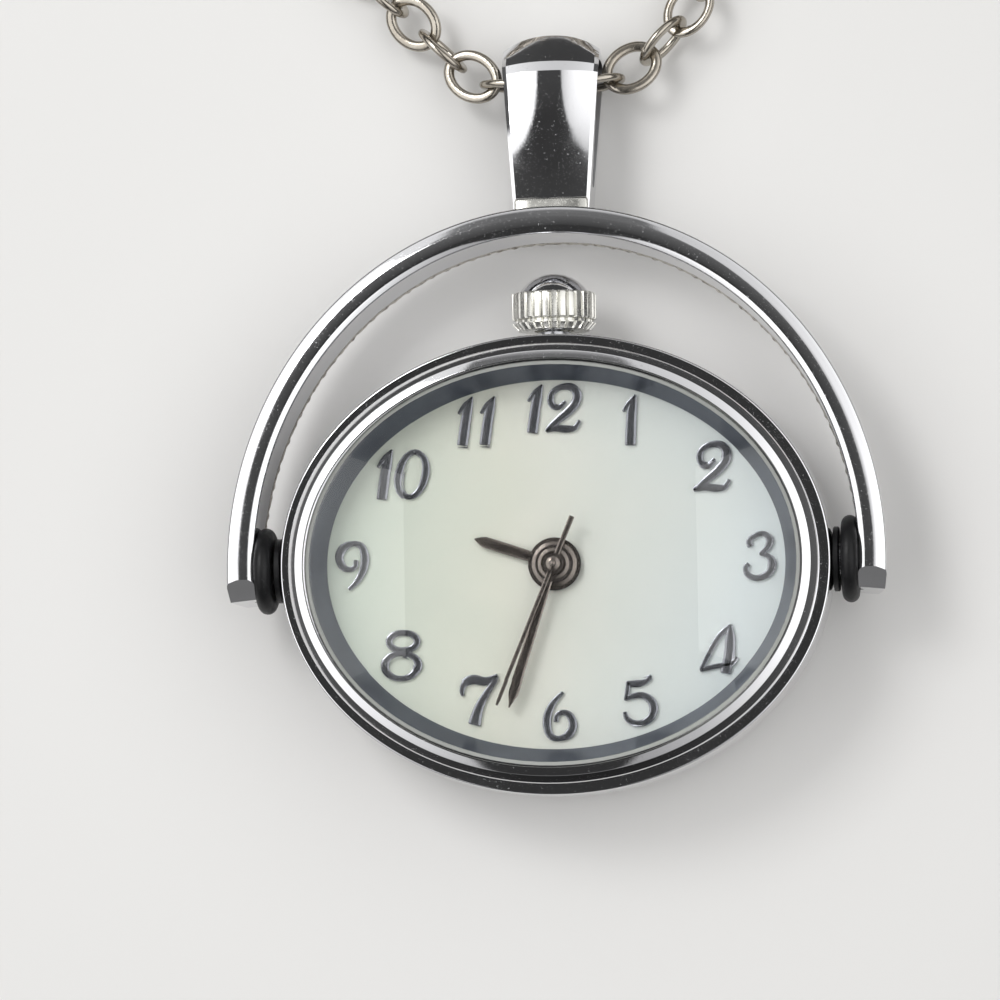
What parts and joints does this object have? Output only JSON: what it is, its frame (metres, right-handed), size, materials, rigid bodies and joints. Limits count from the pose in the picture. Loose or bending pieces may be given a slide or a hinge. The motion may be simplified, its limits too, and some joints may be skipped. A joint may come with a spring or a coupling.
{
  "type": "pendant watch",
  "caption": "Oval quartz watch with faceted crystal that turns over between the legs of an arched yoke, hung by a loop bail on a long cable chain with a claw clasp.",
  "frame": {"origin": "centre of the case back's outer face, on which the watch lies", "axes": "+Z out of the dial, +Y towards 12 o'clock and the bail, +X towards 3 o'clock"},
  "size_m": [0.0439, 0.0877, 0.0069],
  "materials": {
    "polished_metal": "polished",
    "numeral_metal": "polished",
    "chain_metal": "polished",
    "black_rubber": "matte",
    "satin_steel": "satin",
    "battery_can": "satin",
    "glass": "clear, faceted",
    "gasket_plastic": "matte",
    "flange_grey": "satin",
    "dial_pearl": "pearly",
    "holder_plastic": "matte",
    "train_brass": "satin",
    "board_green": "matte",
    "coil_copper": "satin",
    "hand_gunmetal": "polished"
  },
  "bodies": {
    "yoke": {"yoke_arch": "polished_metal", "bail": "polished_metal", "pivot_pin_left": "polished_metal", "pivot_pin_right": "polished_metal", "o_ring_left": "black_rubber", "o_ring_right": "black_rubber", "friction_washer_left": "black_rubber", "friction_washer_right": "black_rubber", "chain_left": "chain_metal", "chain_right": "chain_metal", "end_rings": "chain_metal", "clasp_body": "chain_metal", "clasp_pin": "chain_metal"},
    "clasp_lever": {"clasp_lever": "chain_metal"},
    "case": {"case_middle": "polished_metal", "pivot_tubes": "satin_steel", "crown_tube": "satin_steel", "bezel": "polished_metal", "crystal": "glass", "crystal_gasket": "gasket_plastic", "flange_ring": "flange_grey", "dial": "dial_pearl", "hour_numerals": "numeral_metal", "movement_holder": "holder_plastic", "main_plate": "train_brass", "train_bridge": "train_brass", "bridge_screws": "satin_steel", "battery_cell": "battery_can", "battery_clip": "satin_steel", "circuit_board": "board_green", "quartz_can": "satin_steel", "coil": "coil_copper", "coil_core": "satin_steel", "stator": "satin_steel", "setting_lever": "satin_steel", "case_back": "satin_steel", "case_back_gasket": "black_rubber"},
    "minute": {"minute_hand": "hand_gunmetal", "cannon_pinion": "train_brass"},
    "hour": {"hour_hand": "hand_gunmetal", "hour_wheel": "train_brass"},
    "minute_wheel": {"minute_wheel": "train_brass"},
    "seconds": {"second_hand": "hand_gunmetal", "fourth_wheel": "train_brass"},
    "third_wheel": {"third_wheel": "train_brass"},
    "fifth_wheel": {"fifth_wheel": "train_brass"},
    "rotor": {"rotor": "satin_steel"},
    "centre_wheel": {"centre_wheel": "train_brass"},
    "pinion": {"sliding_pinion": "satin_steel"},
    "crown": {"crown": "polished_metal", "stem": "satin_steel", "crown_gasket": "black_rubber"}
  },
  "joints": [
    {"name": "case_flip", "type": "hinge", "parent": "yoke", "child": "case", "pos_m": [0, 0, 0.0037], "axis": [1, 0, 0], "continuous": true},
    {"name": "minute_turn", "type": "hinge", "parent": "case", "child": "minute", "pos_m": [0, 0, 0.0035], "axis": [0, 0, 1], "continuous": true},
    {"name": "hour_turn", "type": "hinge", "parent": "case", "child": "hour", "pos_m": [0, 0, 0.0035], "axis": [0, 0, 1], "continuous": true},
    {"name": "minute_wheel_turn", "type": "hinge", "parent": "case", "child": "minute_wheel", "pos_m": [0.00184, 0.00184, 0.0035], "axis": [0, 0, 1], "continuous": true},
    {"name": "second_turn", "type": "hinge", "parent": "case", "child": "seconds", "pos_m": [0, 0, 0.0025], "axis": [0, 0, 1], "continuous": true},
    {"name": "third_wheel_turn", "type": "hinge", "parent": "case", "child": "third_wheel", "pos_m": [0.0022, 0.0008, 0.0018], "axis": [0, 0, 1], "continuous": true},
    {"name": "centre_wheel_turn", "type": "hinge", "parent": "case", "child": "centre_wheel", "pos_m": [0, 0, 0.0024], "axis": [0, 0, 1], "continuous": true},
    {"name": "fifth_wheel_turn", "type": "hinge", "parent": "case", "child": "fifth_wheel", "pos_m": [0.00105, -0.00182, 0.0018], "axis": [0, 0, 1], "continuous": true},
    {"name": "rotor_turn", "type": "hinge", "parent": "case", "child": "rotor", "pos_m": [0.00275, -0.0028, 0.0018], "axis": [0, 0, 1], "continuous": true},
    {"name": "crown_turn", "type": "hinge", "parent": "case", "child": "pinion", "pos_m": [0, 0.0045, 0.00305], "axis": [0, 1, 0], "continuous": true},
    {"name": "crown_pull", "type": "slide", "parent": "pinion", "child": "crown", "axis": [0, 1, 0], "range_m": [0, 0.0007]},
    {"name": "clasp_open", "type": "hinge", "parent": "yoke", "child": "clasp_lever", "pos_m": [0.00029, 0.05532, 0.00102], "axis": [0, 0, 1], "range_deg": [-22, 0], "stiffness_Nm_per_rad": 0.0001, "springref_deg": 17.19}
  ],
  "couplings": [
    {"joint": "hour_turn", "follows": "minute_turn", "ratio": 0.083333},
    {"joint": "minute_wheel_turn", "follows": "minute_turn", "ratio": -0.33333},
    {"joint": "third_wheel_turn", "follows": "second_turn", "ratio": -0.13333},
    {"joint": "centre_wheel_turn", "follows": "second_turn", "ratio": 0.016667},
    {"joint": "fifth_wheel_turn", "follows": "second_turn", "ratio": -5},
    {"joint": "rotor_turn", "follows": "second_turn", "ratio": 30}
  ]
}
